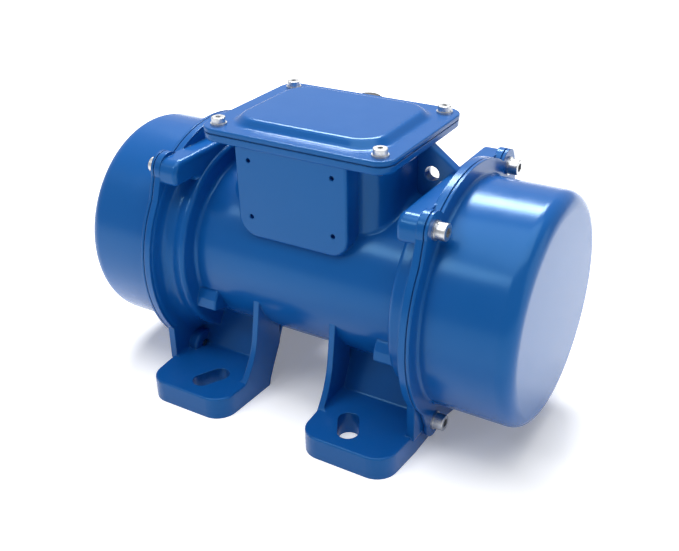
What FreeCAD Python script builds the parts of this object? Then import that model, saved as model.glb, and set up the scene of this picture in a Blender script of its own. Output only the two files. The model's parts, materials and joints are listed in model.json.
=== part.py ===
import FreeCAD, Part
import math
import os

V = FreeCAD.Vector
X_AXIS, Y_AXIS, Z_AXIS = V(1, 0, 0), V(0, 1, 0), V(0, 0, 1)

# ---------------------------------------------------------------- driving dimensions (mm)
AXIS_H = 83.0            # motor axis above the feet

# end covers
COVER_R = 70.8           # outside radius of the cup
COVER_END = 148.8        # outer end face, from the middle of the motor
COVER_T = 1.8            # sheet thickness
COVER_ROUND = 9.5        # outside corner of the cup
SEAL_T = 0.7             # flat seal between cover and housing

# housing casting
BARREL_R = 54.0          # barrel between the end sections
BORE_R = 49.0            # stator seat
BAND_R = 66.5            # raised band of an end section
BAND_X = 72.5            # where the band starts
LIP_R = 80.6             # flange lip
LIP_X = 86.5             # inner face of the lip
FACE_X = 91.5            # machined face that the cover seals on
SHIELD_LEDGE = 9.0       # width of the ledge that the bearing shield is screwed to
SHIELD_SEAT_X = 80.0     # bottom of that counterbore
EAR_R = 10.5             # cover screw lugs
EAR_OUT = 10.0           # cover screws, outside the cup
EAR_UP_DEG = 50.6        # upper lugs, above the horizontal
EAR_DOWN_DEG = 57.2      # lower lugs, below the horizontal
DECK_X = 74.8            # inner face of the block between the upper lugs
DECK_RISE = 70.8         # flat top of that block, above the axis
DECK_Y = 61.6            # half width of that block
DECK_DROP = 55.5         # underside of its corners, above the axis

# feet
FOOT_FRONT = 94.6        # front edge of the feet, from the axis
FOOT_T = 15.0
FOOT_IN_FRONT = 28.3     # inner side at the front edge
FOOT_IN_BACK = 25.0      # inner side at the back of the foot
FOOT_OUT_FRONT = 87.6    # outer side at the front edge
FOOT_OUT_BACK = 90.0
FOOT_CORNER = 13.5
SLOT_X = 51.6            # slot centre along the motor
SLOT_Y = 74.1            # slot centre across the motor
SLOT_D = 13.0            # for M12 bolts
SLOT_TRAVEL = 12.0       # centre to centre length of a slot
SLOT_DEG = 28.0          # splay of the slots
FOOT_WALL = 4.0          # inner gusset wall
FOOT_FILLET = 2.5        # where the walls stand on the foot
TUNNEL_BOTTOM = 46.5     # half width of the tunnel between front and rear feet
TUNNEL_TOP = 27.0

# terminal box
BOX_X = 46.5             # half length outside
BOX_Y = 36.0             # half width outside
BOX_WALL = 4.5
BOX_BLEND = 4.5          # fillet between the box and the barrel
BOX_FLOOR = AXIS_H + 54.5
RIM_X = 64.2             # half length of the box rim
RIM_Y = 50.2
RIM_R = 11.0
RIM_Z = AXIS_H + 85.0    # underside of the rim
RIM_T = 4.8
PAD_Y = 49.3             # nameplate face
PAD_X = 38.2             # half length of the pad
PAD_BOTTOM = AXIS_H + 28.7
PAD_R = 12.5
LID_SEAL_T = 0.9
LID_T = 2.8
LID_EDGE = 0.3           # lid outside the rim
DOME_H = 4.6
DOME_X = 53.0            # half length of the dome at the lid
DOME_Y = 41.0            # half width of the dome at the lid
DOME_CORNER = 19.0       # its plan corners
DOME_DRAFT = 5.5         # how much narrower the top is, each side
DOME_TOP_R = 5.0
DOME_FOOT_R = 5.0
LID_SCREW_X = 54.7
LID_SCREW_Y = 40.8
PLATE_HOLE_X = 28.5      # nameplate holes from the middle
PLATE_HOLE_Z = AXIS_H + 60.0
PLATE_HOLE_UP = 18.0     # above and below that height
PLATE_HOLE_D = 3.0
PLATE_HOLE_DEPTH = 3.0

# lifting webs
WEB_Y = 7.2
WEB_T = 6.6
WEB_HOLE_D = 9.4
WEB_HOLE_X = 64.8
WEB_HOLE_Z = AXIS_H + 68.6

# cable gland, M20
GLAND_X = -12.0
GLAND_Z = AXIS_H + 75.0
GLAND_FACE = 51.5
GLAND_THREAD_R = 10.0
GLAND_AF = 24.0
GLAND_BORE_R = 5.5

# rotating parts
SHAFT_R = 15.0           # bearing seat
SHAFT_MID_R = 18.0
SHAFT_WEIGHT_R = 14.0    # seat of the weights
SHAFT_END = 140.0
BEARING_OR = 36.0
BEARING_W = 19.0
BEARING_X = 82.0         # bearing middle
BALL_R = 6.0
BALL_COUNT = 8
BALL_PITCH_R = 25.5
RUN = 0.05               # running clearance of the balls
CORE_HALF = 35.0         # half length of the laminated cores
ROTOR_R = 26.6
STATOR_IR = 27.0
WINDING_END = 58.0
WEIGHT_R = 60.0
WEIGHT_T = 16.0
INNER_WEIGHT_X = 98.0
OUTER_WEIGHT_X = 115.0
HUB_R = 23.0

# fasteners: nominal diameter, head diameter, head height, hexagon across flats
M4 = dict(d=4.0, dk=7.0, k=4.0, s=3.0)
M5_LOW = dict(d=5.0, dk=8.5, k=3.5, s=3.0)
M6 = dict(d=6.0, dk=10.0, k=6.0, s=5.0)
M8 = dict(d=8.0, dk=13.0, k=8.0, s=6.0)

SHIELD_SEAT_R = BORE_R + SHIELD_LEDGE
EAR_CIRCLE_R = COVER_R + EAR_OUT
LID_TOP = RIM_Z + RIM_T + LID_SEAL_T + LID_T
COVER_FACE = FACE_X + SEAL_T + COVER_T


# ---------------------------------------------------------------- helpers
def wire(points, place):
    """Closed wire through (a, b) or (a, b, corner radius) points; place(a, b) gives the vector."""
    ends = []
    count = len(points)
    for i, point in enumerate(points):
        a, b = point[0], point[1]
        r = point[2] if len(point) > 2 else 0.0
        if r <= 0:
            ends.append((place(a, b), None, place(a, b)))
            continue
        p = V(a, b, 0)
        before = V(points[i - 1][0], points[i - 1][1], 0) - p
        after = V(points[(i + 1) % count][0], points[(i + 1) % count][1], 0) - p
        before.normalize()
        after.normalize()
        half = before.getAngle(after) / 2
        t = r / math.tan(half)
        mid = (before + after)
        mid.normalize()
        m = p + mid * (r / math.sin(half) - r)
        q0, q1 = p + before * t, p + after * t
        ends.append((place(q0.x, q0.y), place(m.x, m.y), place(q1.x, q1.y)))
    edges = []
    for i in range(count):
        start, mid, end = ends[i]
        if mid is not None:
            edges.append(Part.Arc(start, mid, end).toShape())
        following = ends[(i + 1) % count][0]
        if (following - end).Length > 1e-6:
            edges.append(Part.LineSegment(end, following).toShape())
    return Part.Wire(edges)


def revolved(points):
    """Solid of revolution about the motor axis from (x, radius) points."""
    face = Part.Face(wire(points, lambda x, r: V(x, 0, AXIS_H + r)))
    return face.revolve(V(0, 0, AXIS_H), X_AXIS, 360)


def sector(points, start, sweep):
    """Part of a revolution; angles in degrees from the front horizontal, upward."""
    face = Part.Face(wire(points, lambda x, r: V(x, -r, AXIS_H)))
    face.rotate(V(0, 0, AXIS_H), X_AXIS, -start)
    return face.revolve(V(0, 0, AXIS_H), X_AXIS, -sweep)


def ring(x0, x1, r_in, r_out):
    """Plain tube along the motor axis."""
    outer = Part.makeCylinder(r_out, x1 - x0, V(x0, 0, AXIS_H), X_AXIS)
    if r_in <= 0:
        return outer
    return outer.cut(Part.makeCylinder(r_in, x1 - x0, V(x0, 0, AXIS_H), X_AXIS))


def rod(x0, x1, y, z, r):
    """Cylinder parallel to the motor axis."""
    return Part.makeCylinder(r, x1 - x0, V(x0, y, z), X_AXIS)


def along_x(points, x0, x1):
    """Outline in the Y-Z plane, extruded from x0 to x1."""
    face = Part.Face(wire(points, lambda y, z: V(x0, y, z)))
    return face.extrude(V(x1 - x0, 0, 0))


def along_y(points, y0, y1):
    """Outline in the X-Z plane, extruded from y0 to y1."""
    face = Part.Face(wire(points, lambda x, z: V(x, y0, z)))
    return face.extrude(V(0, y1 - y0, 0))


def along_z(points, z0, z1):
    """Outline in the X-Y plane, extruded from z0 to z1."""
    face = Part.Face(wire(points, lambda x, y: V(x, y, z0)))
    return face.extrude(V(0, 0, z1 - z0))


def block(x_half, y_half, z0, z1, r):
    """Upright rounded block about the middle."""
    corners = [(-x_half, -y_half, r), (x_half, -y_half, r), (x_half, y_half, r), (-x_half, y_half, r)]
    return along_z(corners, z0, z1)


def left(shape):
    """The same shape on the left end."""
    return shape.mirror(V(0, 0, 0), X_AXIS)


def rear(shape):
    """The same shape on the rear side."""
    return shape.mirror(V(0, 0, 0), Y_AXIS)


def four(shape):
    """One shape in all four quadrants."""
    right_pair = [shape, rear(shape)]
    return right_pair + [left(s) for s in right_pair]


def union(shapes):
    """One body from several touching ones."""
    return shapes[0].multiFuse(shapes[1:]).removeSplitter()


def hexagon(across_flats, height, base, direction):
    """Hexagonal prism standing on base."""
    r = across_flats / math.sqrt(3)
    points = [V(r * math.cos(math.radians(60 * i)), r * math.sin(math.radians(60 * i)), 0)
              for i in range(6)]
    prism = Part.Face(Part.makePolygon(points + points[:1])).extrude(V(0, 0, height))
    turn = FreeCAD.Rotation(Z_AXIS, direction)
    prism.Placement = FreeCAD.Placement(base, turn)
    return prism


def cap_screw(spec, length, seat, direction):
    """Socket head screw; seat is the point under the head, direction points to the head."""
    head = Part.makeCylinder(spec["dk"] / 2, spec["k"], seat, direction)
    head = head.makeFillet(0.5, [e for e in head.Edges if e.Closed
                                 and (e.CenterOfMass - seat).Length > spec["k"] / 2])
    shank = Part.makeCylinder(spec["d"] / 2, length, seat, direction * -1)
    tip = [e for e in shank.Edges if e.Closed and (e.CenterOfMass - seat).Length > length / 2]
    shank = shank.makeChamfer(spec["d"] * 0.1, tip)
    socket = hexagon(spec["s"], spec["k"] * 0.55, seat + direction * (spec["k"] * 0.46), direction)
    return head.fuse(shank).cut(socket).removeSplitter()


def washer(d_in, d_out, t, base, direction):
    """Plain washer standing on base."""
    disc = Part.makeCylinder(d_out / 2, t, base, direction)
    return disc.cut(Part.makeCylinder(d_in / 2, t, base, direction))


def polar(radius, degrees):
    """(y, z) at an angle from the front horizontal, upward."""
    a = math.radians(degrees)
    return -radius * math.cos(a), AXIS_H + radius * math.sin(a)


EAR_ANGLES = (EAR_UP_DEG, 180 - EAR_UP_DEG, -EAR_DOWN_DEG, 180 + EAR_DOWN_DEG)
SHIELD_SCREWS = (45, 135, 225, 315)
SHIELD_SCREW_R = BORE_R + SHIELD_LEDGE * 0.45


# ---------------------------------------------------------------- housing
def flange_plate(x0, x1, radius, ear, hole):
    """Flange disc with four screw lugs that flare into the rim."""
    body = ring(x0, x1, 0, radius)
    lugs = []
    for degrees in EAR_ANGLES:
        y, z = polar(EAR_CIRCLE_R, degrees)
        lugs.append(rod(x0, x1, y, z, ear))
        lower = degrees < 0 or degrees > 180
        swing = -16 if degrees < 90 else 16
        if lower:
            swing = 15 if degrees < 90 else -15
        y1, z1 = polar(radius, degrees + swing)
        y2, z2 = polar(EAR_CIRCLE_R + ear, degrees)
        y3, z3 = polar(EAR_CIRCLE_R - ear, degrees)
        lugs.append(along_x([(y1, z1), (y2, z2), (y3, z3)], x0, x1))
    body = union([body] + lugs)
    if hole > 0:
        for degrees in EAR_ANGLES:
            y, z = polar(EAR_CIRCLE_R, degrees)
            body = body.cut(rod(x0 - 1, x1 + 1, y, z, hole))
    return body


def end_section():
    """Right-hand end of the casting: barrel half, shoulder, band, lip, lugs and the block between them."""
    body = revolved([(0, 0), (0, BARREL_R), (BAND_X, BARREL_R, 2.5), (BAND_X, BAND_R, 3.0),
                     (LIP_X, BAND_R, 7.0), (LIP_X, LIP_R, 4.0), (FACE_X, LIP_R), (FACE_X, 0)])
    parts = [body, flange_plate(LIP_X + 0.6, FACE_X, LIP_R, EAR_R, 0)]
    for degrees in EAR_ANGLES[2:]:
        y, z = polar(EAR_CIRCLE_R, degrees)
        boss = rod(SHIELD_SEAT_X, FACE_X, y, z, EAR_R - 1.0)
        parts.append(boss.makeFillet(2.0, [e for e in boss.Edges if e.Closed
                                           and abs(e.CenterOfMass.x - SHIELD_SEAT_X) < 0.01]))
    parts.append(lug_block())
    return union(parts)


def lug_block():
    """Flat-topped block that carries both upper lugs, with rounded corners and inner edges."""
    top, low = AXIS_H + DECK_RISE, AXIS_H + DECK_DROP
    inner = DECK_Y - 2 * EAR_R
    outline = [(-DECK_Y, top, 8.5), (DECK_Y, top, 8.5), (DECK_Y, low, 3.0), (inner, low, 2.0),
               (inner, AXIS_H + 30), (-inner, AXIS_H + 30), (-inner, low, 2.0), (-DECK_Y, low, 3.0)]
    body = along_x(outline, DECK_X, LIP_X + 1.5)
    return body.makeFillet(3.0, [e for e in body.Edges if e.BoundBox.XMax < DECK_X + 0.01
                                 and e.BoundBox.ZMin > low - 0.01])


def stub():
    """Small block on the barrel against the shoulder, lower front."""
    body = along_x([(-40, AXIS_H - 17), (-52.0, AXIS_H - 17, 1.6), (-55.2, AXIS_H - 22.8),
                    (-56.6, AXIS_H - 29.5, 1.6), (-45, AXIS_H - 33), (-40, AXIS_H - 33)], 58.0, BAND_X + 1)
    return body.makeFillet(1.5, [e for e in body.Edges if e.BoundBox.XMax < 58.01 and e.CenterOfMass.y < -44])


def foot():
    """Front right foot with its gusset wall, back web and end wall."""
    back = -TUNNEL_BOTTOM + 4
    plan = [(FOOT_IN_FRONT, -FOOT_FRONT, FOOT_CORNER), (FOOT_OUT_FRONT, -FOOT_FRONT, FOOT_CORNER),
            (FOOT_OUT_BACK, -60), (FOOT_OUT_BACK, back + 10), (FOOT_IN_BACK, back + 10)]
    base = along_z(plan, 0, FOOT_T)
    base = base.makeFillet(1.2, [e for e in base.Edges
                                 if abs(e.BoundBox.ZMin - FOOT_T) < 0.01 and e.BoundBox.YMax < back + 9])
    # the gusset wall follows the inner side of the foot
    strip = along_z([(FOOT_IN_FRONT, -FOOT_FRONT), (FOOT_IN_BACK, back + 10),
                     (FOOT_IN_BACK + FOOT_WALL, back + 10), (FOOT_IN_FRONT + FOOT_WALL, -FOOT_FRONT)], 0, AXIS_H)
    top = AXIS_H - 5
    lower = V(0, -70.5, FOOT_T - 1), V(0, -60.6, AXIS_H - 55.5), V(0, -55.6, AXIS_H - 41)
    upper = lower[2], V(0, -53.2, AXIS_H - 27), V(0, -50.0, top)
    edges = [Part.Arc(*lower).toShape(), Part.Arc(*upper).toShape()]
    rest = [V(0, -50.0, top), V(0, -20, top), V(0, -20, 2), V(0, -70.5, 2), V(0, -70.5, FOOT_T - 1)]
    edges += [Part.LineSegment(p, q).toShape() for p, q in zip(rest, rest[1:])]
    profile = Part.Face(Part.Wire(edges)).extrude(V(120, 0, 0))
    wall = strip.common(profile)
    under = AXIS_H - 45
    web = along_x([(-TUNNEL_BOTTOM, 1), (-42.5, FOOT_T), (-29.0, under), (-18.0, under), (-18.0, 1)],
                  FOOT_IN_BACK + 0.4, LIP_X + 1)
    end_wall = along_x([(-66.0, AXIS_H - 46), (-66.0, FOOT_T - 2), (-20.0, FOOT_T - 2), (-20.0, AXIS_H - 46)],
                       LIP_X, FACE_X)
    stock = union([base, wall, web, end_wall])
    inside = [e for e in stock.Edges if FOOT_IN_BACK + 1 < e.CenterOfMass.x < LIP_X + 0.5
              and abs(e.BoundBox.ZMin - FOOT_T) < 0.01 and abs(e.BoundBox.ZMax - FOOT_T) < 0.01
              and e.BoundBox.YMin > -71 and e.BoundBox.YMax > -66.5]
    stock = stock.makeFillet(FOOT_FILLET, inside)
    tunnel = along_x([(-TUNNEL_BOTTOM, -1), (-TUNNEL_BOTTOM + 2, FOOT_T * 0.35), (-TUNNEL_TOP, under),
                      (0, under), (0, -1)], 20, LIP_X + 1)
    return stock.cut(tunnel)


def slot():
    """Cutter for the front right slot."""
    dx = math.sin(math.radians(SLOT_DEG)) * SLOT_TRAVEL / 2
    dy = math.cos(math.radians(SLOT_DEG)) * SLOT_TRAVEL / 2
    nx, ny = dy * SLOT_D / SLOT_TRAVEL, dx * SLOT_D / SLOT_TRAVEL
    ends = [(SLOT_X + dx, -SLOT_Y - dy), (SLOT_X - dx, -SLOT_Y + dy)]
    solids = [Part.makeCylinder(SLOT_D / 2, FOOT_T + 4, V(x, y, -2)) for x, y in ends]
    (xa, ya), (xb, yb) = ends
    solids.append(along_z([(xa + nx, ya + ny), (xb + nx, yb + ny), (xb - nx, yb - ny), (xa - nx, ya - ny)],
                          -2, FOOT_T + 2))
    return union(solids)


def on_barrel(edge):
    """Whether an edge is where the box walls meet the barrel."""
    radii = [math.hypot(v.Y, v.Z - AXIS_H) for v in edge.Vertexes]
    return (max(abs(r - BARREL_R) for r in radii) < 0.01 and edge.BoundBox.ZMin > AXIS_H
            and max(abs(edge.BoundBox.XMin), abs(edge.BoundBox.XMax)) < BOX_X + 0.01)


def terminal_box():
    """Box walls, rim and the two pads, as a solid block without its cavity."""
    walls = block(BOX_X, BOX_Y, AXIS_H + 20, RIM_Z + 1, 9.0)
    walls = walls.fuse(rod(-BOX_X - 10, BOX_X + 10, 0, AXIS_H, BARREL_R))
    walls = walls.makeFillet(BOX_BLEND, [e for e in walls.Edges if on_barrel(e)])
    rim = block(RIM_X, RIM_Y, RIM_Z, RIM_Z + RIM_T, RIM_R)
    rim = rim.makeFillet(1.6, [e for e in rim.Edges if abs(e.BoundBox.ZMax - RIM_Z) < 0.01])
    pad = along_y([(-PAD_X, PAD_BOTTOM, PAD_R), (PAD_X, PAD_BOTTOM, PAD_R), (PAD_X, RIM_Z + 1),
                   (-PAD_X, RIM_Z + 1)], -PAD_Y, -BOX_Y + 4)
    pad = pad.makeFillet(1.8, [e for e in pad.Edges if abs(e.BoundBox.YMax + PAD_Y) < 0.01
                               and e.BoundBox.ZMin < RIM_Z])
    half = GLAND_AF * 0.7
    rear_pad = along_y([(GLAND_X - half, GLAND_Z - half, 8), (GLAND_X + half, GLAND_Z - half, 8),
                        (GLAND_X + half, RIM_Z + 2), (GLAND_X - half, RIM_Z + 2)], BOX_Y - 4, GLAND_FACE)
    return union([walls, rim, pad, rear_pad])


def lifting_web():
    """Web from the box to the right end section, with its lifting hole."""
    low, high = AXIS_H + 45, AXIS_H + DECK_RISE
    web = along_y([(BOX_X - 2, low), (BOX_X - 2, RIM_Z + 1), (RIM_X - 1.0, RIM_Z + 1), (79.5, high + 3.2),
                   (84.0, high - 1), (84.0, low)], WEB_Y - WEB_T / 2, WEB_Y + WEB_T / 2)
    web = web.makeFillet(1.0, [e for e in web.Edges if e.BoundBox.XMin > RIM_X - 2 and e.BoundBox.ZMax > high
                               and e.BoundBox.XLength > 8])
    hole = Part.makeCylinder(WEB_HOLE_D / 2, WEB_T + 4, V(WEB_HOLE_X, WEB_Y - WEB_T / 2 - 2, WEB_HOLE_Z), Y_AXIS)
    return web, hole


def housing():
    """The casting: both end sections, barrel, four feet, terminal box and lifting webs."""
    end = end_section()
    web, web_hole = lifting_web()
    quarter = union([foot(), stub()])
    body = union([end, left(end), terminal_box(), web, left(web)] + four(quarter))
    cuts = [ring(-SHIELD_SEAT_X, SHIELD_SEAT_X, 0, BORE_R)]
    for cutter in (ring(SHIELD_SEAT_X, FACE_X + 5, 0, SHIELD_SEAT_R), web_hole):
        cuts += [cutter, left(cutter)]
    cuts += four(slot())
    inner = block(BOX_X - BOX_WALL, BOX_Y - BOX_WALL, BOX_FLOOR, RIM_Z + RIM_T + 1, 5.0)
    pad_room = block(PAD_X - BOX_WALL, PAD_Y - BOX_WALL, BOX_FLOOR, RIM_Z - 6, 5.0)
    half = Part.makeBox(4 * BOX_X, 2 * PAD_Y, 2 * BOX_X, V(-2 * BOX_X, -2 * PAD_Y, AXIS_H))
    cuts += [inner, pad_room.common(half)]
    cuts.append(Part.makeCylinder(9.0, 20, V(0, 0, AXIS_H + BORE_R - 4)))
    cuts.append(Part.makeCylinder(GLAND_THREAD_R, 30, V(GLAND_X, BOX_Y - 10, GLAND_Z), Y_AXIS))
    for sx in (-1, 1):
        for sy in (-1, 1):
            cuts.append(Part.makeCylinder(M5_LOW["d"] / 2, 20, V(sx * LID_SCREW_X, sy * LID_SCREW_Y, RIM_Z - 5)))
        for z in (PLATE_HOLE_Z - PLATE_HOLE_UP, PLATE_HOLE_Z + PLATE_HOLE_UP):
            cuts.append(Part.makeCylinder(PLATE_HOLE_D / 2, PLATE_HOLE_DEPTH + 2,
                                          V(sx * PLATE_HOLE_X, -PAD_Y - 2, z), Y_AXIS))
    for degrees in EAR_ANGLES:
        y, z = polar(EAR_CIRCLE_R, degrees)
        hole = rod(FACE_X - 13.0, FACE_X + 5, y, z, M6["d"] / 2)
        cuts += [hole, left(hole)]
    for degrees in SHIELD_SCREWS:
        y, z = polar(SHIELD_SCREW_R, degrees)
        hole = rod(SHIELD_SEAT_X - 6.5, SHIELD_SEAT_X + 2, y, z, M4["d"] / 2)
        cuts += [hole, left(hole)]
    for sx, sy in BOARD_SCREWS:
        cuts.append(Part.makeCylinder(M4["d"] / 2, 3.5, V(sx, sy, BOX_FLOOR - 3.5)))
    cuts.append(Part.makeCylinder(M4["d"] / 2, 3.5, V(EARTH_X, EARTH_Y, BOX_FLOOR - 3.5)))
    tool = cuts[0].multiFuse(cuts[1:])
    return body.cut(tool).removeSplitter()


# ---------------------------------------------------------------- covers
def cover():
    """Right-hand cup: drawn sheet with a turned-out flange that follows the screw lugs."""
    inside = COVER_R - COVER_T
    cup = revolved([(FACE_X + SEAL_T, 0), (FACE_X + SEAL_T, COVER_R), (COVER_END, COVER_R, COVER_ROUND),
                    (COVER_END, 0)])
    flange = flange_plate(FACE_X + SEAL_T, COVER_FACE, LIP_R, EAR_R, M6["d"] / 2 + 0.3)
    cavity = revolved([(FACE_X - 1, 0), (FACE_X - 1, inside), (COVER_END - COVER_T, inside, COVER_ROUND - COVER_T),
                       (COVER_END - COVER_T, 0)])
    fillet = revolved([(COVER_FACE - 0.1, COVER_R - 0.5), (COVER_FACE - 0.1, COVER_R + 1.6),
                       (COVER_FACE + 0.35, COVER_R + 0.55), (COVER_FACE + 1.5, COVER_R - 0.02),
                       (COVER_FACE + 1.5, COVER_R - 0.5)])
    return union([cup, flange, fillet]).cut(cavity).removeSplitter()


def cover_seal():
    """Flat seal under the right-hand cover."""
    body = flange_plate(FACE_X, FACE_X + SEAL_T, LIP_R - 0.8, EAR_R - 0.8, M6["d"] / 2 + 0.4)
    return body.cut(ring(FACE_X - 1, FACE_X + 5, 0, 64.0))


def cover_screws():
    """Four screws of the right-hand cover."""
    seats = [polar(EAR_CIRCLE_R, degrees) for degrees in EAR_ANGLES]
    return [cap_screw(M6, 14, V(COVER_FACE + 1.2, y, z), X_AXIS) for y, z in seats]


def cover_washers():
    """Washers under the cover screws."""
    seats = [polar(EAR_CIRCLE_R, degrees) for degrees in EAR_ANGLES]
    return [washer(6.3, 11.4, 1.2, V(COVER_FACE, y, z), X_AXIS) for y, z in seats]


# ---------------------------------------------------------------- terminal box parts
LID_HOLES = [(sx * LID_SCREW_X, sy * LID_SCREW_Y) for sx in (-1, 1) for sy in (-1, 1)]


def drill(shape, places, radius, z0, z1):
    """Vertical holes at the given (x, y) places."""
    for x, y in places:
        shape = shape.cut(Part.makeCylinder(radius, z1 - z0, V(x, y, z0)))
    return shape


def lid():
    """Lid plate with a soft raised dome."""
    bottom = LID_TOP - LID_T
    plate = block(RIM_X + LID_EDGE, RIM_Y + LID_EDGE, bottom, LID_TOP, RIM_R)
    plate = plate.makeFillet(0.9, [e for e in plate.Edges if abs(e.BoundBox.ZMin - LID_TOP) < 0.01])

    def loop(inset, z):
        half_x, half_y, r = DOME_X - inset, DOME_Y - inset, DOME_CORNER - 0.7 * inset
        corners = [(-half_x, -half_y, r), (half_x, -half_y, r), (half_x, half_y, r), (-half_x, half_y, r)]
        return wire(corners, lambda x, y: V(x, y, z))

    dome = Part.makeLoft([loop(0, LID_TOP - 0.5), loop(DOME_DRAFT, LID_TOP + DOME_H)], True)
    dome = dome.makeFillet(DOME_TOP_R, [e for e in dome.Edges if abs(e.BoundBox.ZMin - LID_TOP - DOME_H) < 0.01])
    hollow = Part.makeLoft([loop(3.0, bottom - 0.5), loop(DOME_DRAFT + 3.0, LID_TOP + DOME_H - LID_T)], True)
    body = union([plate, dome])
    foot_line = [e for e in body.Edges
                 if abs(e.BoundBox.ZMin - LID_TOP) < 0.01 and abs(e.BoundBox.ZMax - LID_TOP) < 0.01
                 and max(abs(e.CenterOfMass.x) - DOME_X, abs(e.CenterOfMass.y) - DOME_Y) < 0.1]
    body = body.makeFillet(DOME_FOOT_R, foot_line).cut(hollow)
    return drill(body, LID_HOLES, M5_LOW["d"] / 2 + 0.3, bottom - 1, LID_TOP + 1)


def lid_gasket():
    """Flat gasket between rim and lid."""
    z0 = RIM_Z + RIM_T
    body = block(RIM_X - 0.4, RIM_Y - 0.4, z0, z0 + LID_SEAL_T, RIM_R - 0.4)
    body = body.cut(block(BOX_X - 2, BOX_Y - 2, z0 - 1, z0 + 2, 7))
    return drill(body, LID_HOLES, M5_LOW["d"] / 2 + 0.4, z0 - 1, z0 + 2)


def lid_screws():
    """Four low head screws of the lid."""
    return [cap_screw(M5_LOW, 12, V(x, y, LID_TOP + 1.0), Z_AXIS) for x, y in LID_HOLES]


def lid_washers():
    """Washers under the lid screws."""
    return [washer(5.3, 10.0, 1.0, V(x, y, LID_TOP), Z_AXIS) for x, y in LID_HOLES]


BOARD_Z = BOX_FLOOR
STUD_X = (-16.0, 0.0, 16.0)
STUD_Y = (-7.0, 7.0)
BOARD_SCREWS = [(-27.0, 0.0), (27.0, 0.0)]
EARTH_X, EARTH_Y = 34.0, 22.0


def terminal_board():
    """Moulded board with six stud holes, barriers and two screw ears."""
    body = block(32, 16, BOARD_Z, BOARD_Z + 8, 4)
    for x in (-8, 8):
        body = body.fuse(Part.makeBox(2, 30, 5, V(x - 1, -15, BOARD_Z + 7.5)))
    body = body.cut(Part.makeCylinder(7.5, 20, V(0, 0, BOARD_Z - 15)))
    body = drill(body, [(x, y) for x in STUD_X for y in STUD_Y], 2.0, BOARD_Z + 2, BOARD_Z + 20)
    body = drill(body, BOARD_SCREWS, 2.2, BOARD_Z - 1, BOARD_Z + 20)
    for x, y in BOARD_SCREWS:
        body = body.cut(Part.makeCylinder(4.0, 10, V(x, y, BOARD_Z + 5)))
    return body.removeSplitter()


def terminal_studs():
    """Six terminal studs."""
    return [Part.makeCylinder(2.0, 16, V(x, y, BOARD_Z + 2)) for x in STUD_X for y in STUD_Y]


def terminal_links():
    """Three bridging links across the stud pairs."""
    links = []
    for x in STUD_X:
        bar = along_z([(x - 4, -11, 3.9), (x + 4, -11, 3.9), (x + 4, 11, 3.9), (x - 4, 11, 3.9)],
                      BOARD_Z + 8, BOARD_Z + 9)
        links.append(drill(bar, [(x, y) for y in STUD_Y], 2.0, BOARD_Z + 7, BOARD_Z + 11))
    return links


def terminal_nuts():
    """Nuts clamping the links."""
    nuts = []
    for x in STUD_X:
        for y in STUD_Y:
            nut = hexagon(7.0, 3.2, V(x, y, BOARD_Z + 9), Z_AXIS)
            nuts.append(nut.cut(Part.makeCylinder(2.0, 5, V(x, y, BOARD_Z + 8))))
    return nuts


def board_screws():
    """Two screws holding the terminal board."""
    return [cap_screw(M4, 8, V(x, y, BOARD_Z + 5), Z_AXIS) for x, y in BOARD_SCREWS]


def earth_screw():
    """Earth screw and its clamping plate."""
    plate = washer(4.0, 10.0, 1.0, V(EARTH_X, EARTH_Y, BOX_FLOOR), Z_AXIS)
    return [cap_screw(M4, 4.4, V(EARTH_X, EARTH_Y, BOX_FLOOR + 1), Z_AXIS).fuse(plate)]


def revolved_y(points, x, z):
    """Solid of revolution about a line along Y; points are (y, radius)."""
    face = Part.Face(wire(points, lambda y, r: V(x, y, z + r)))
    return face.revolve(V(x, 0, z), Y_AXIS, 360)


def gland_body():
    """Gland body: threaded spigot, hexagon collar and clamping thread."""
    f = GLAND_FACE
    spigot = revolved_y([(f - 9, GLAND_BORE_R + 1.5), (f - 9, GLAND_THREAD_R, 0.6), (f + 6, GLAND_THREAD_R),
                         (f + 6, 9.6), (f + 14, 9.6, 0.5), (f + 14, GLAND_BORE_R + 1.5)],
                        GLAND_X, GLAND_Z)
    collar = hexagon(GLAND_AF, 5.0, V(GLAND_X, f + 1.0, GLAND_Z), Y_AXIS)
    collar = collar.common(Part.makeCylinder(GLAND_AF * 0.56, 5.0, V(GLAND_X, f + 1.0, GLAND_Z), Y_AXIS))
    bore = Part.makeCylinder(GLAND_BORE_R + 1.5, 60, V(GLAND_X, f - 12, GLAND_Z), Y_AXIS)
    return spigot.fuse(collar).cut(bore).removeSplitter()


def gland_nut():
    """Domed clamping nut of the gland."""
    f = GLAND_FACE + 6.3
    dome = revolved_y([(f, 0), (f, GLAND_AF * 0.56), (f + 12, GLAND_AF * 0.56, 4), (f + 21, GLAND_AF * 0.36, 3),
                       (f + 21, 0)], GLAND_X, GLAND_Z)
    dome = dome.common(hexagon(GLAND_AF, 22.0, V(GLAND_X, f, GLAND_Z), Y_AXIS))
    bore = revolved_y([(f - 1, 0), (f - 1, 9.6), (f + 10, 9.6), (f + 14, GLAND_BORE_R + 1.5),
                       (f + 22, GLAND_BORE_R + 1.5), (f + 22, 0)], GLAND_X, GLAND_Z)
    return dome.cut(bore).removeSplitter()


def gland_insert():
    """Rubber sealing insert inside the gland."""
    f = GLAND_FACE + 6.3
    return revolved_y([(f - 4, GLAND_BORE_R), (f - 4, GLAND_BORE_R + 1.5), (f + 19, GLAND_BORE_R + 1.5),
                       (f + 19, GLAND_BORE_R)], GLAND_X, GLAND_Z)


def gland_ring():
    """Sealing ring between gland and box."""
    f = GLAND_FACE
    return revolved_y([(f, GLAND_THREAD_R), (f, 12.0), (f + 1.0, 12.0), (f + 1.0, GLAND_THREAD_R)],
                      GLAND_X, GLAND_Z)


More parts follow.
